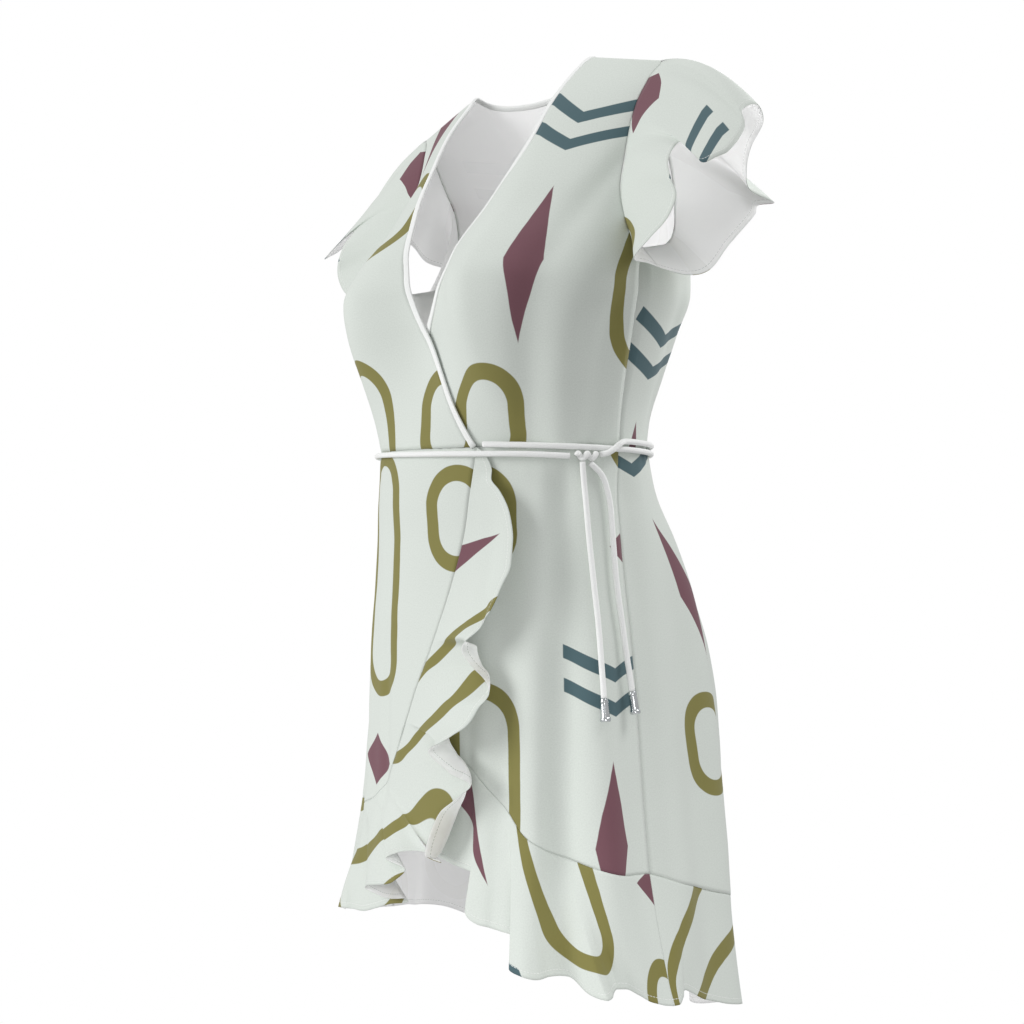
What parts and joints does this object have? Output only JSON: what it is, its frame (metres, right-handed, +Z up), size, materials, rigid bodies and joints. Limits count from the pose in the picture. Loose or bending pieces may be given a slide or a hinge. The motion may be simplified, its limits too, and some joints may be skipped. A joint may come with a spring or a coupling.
{
  "type": "wrap tea dress",
  "caption": "Short wrap dress, filled out and hollow: bound V neck, flutter sleeves, cord tie with metal tips, and a wrap skirt with a cascading flounce.",
  "frame": {"origin": "midway between the shoulders, at the height of the side neck points, where the wearer's shoulders hold the dress", "axes": "+Z up, +X to the wearer's left, and the front faces -Y"},
  "size_m": [0.594, 0.3833, 0.9614],
  "materials": {
    "printed_crepe": "matte crepe, white inside, with a large printed pattern in olive, teal and plum",
    "white_binding": "matte bias binding",
    "white_cord": "smooth round cord",
    "silver_tip": "polished"
  },
  "bodies": {
    "root": {"bodice_front_right": "printed_crepe", "bodice_front_left": "printed_crepe", "bodice_back": "printed_crepe", "sleeve_left": "printed_crepe", "sleeve_right": "printed_crepe", "skirt_front_right": "printed_crepe", "skirt_front_left": "printed_crepe", "skirt_back": "printed_crepe", "flounce_front_right": "printed_crepe", "flounce_front_left": "printed_crepe", "flounce_back": "printed_crepe", "neck_binding": "white_binding", "tie_long": "white_cord", "tie_short": "white_cord", "tie_knot": "white_cord", "tie_tail_1": "white_cord", "tie_tail_2": "white_cord", "tie_tip_1": "silver_tip", "tie_tip_2": "silver_tip"}
  },
  "joints": []
}
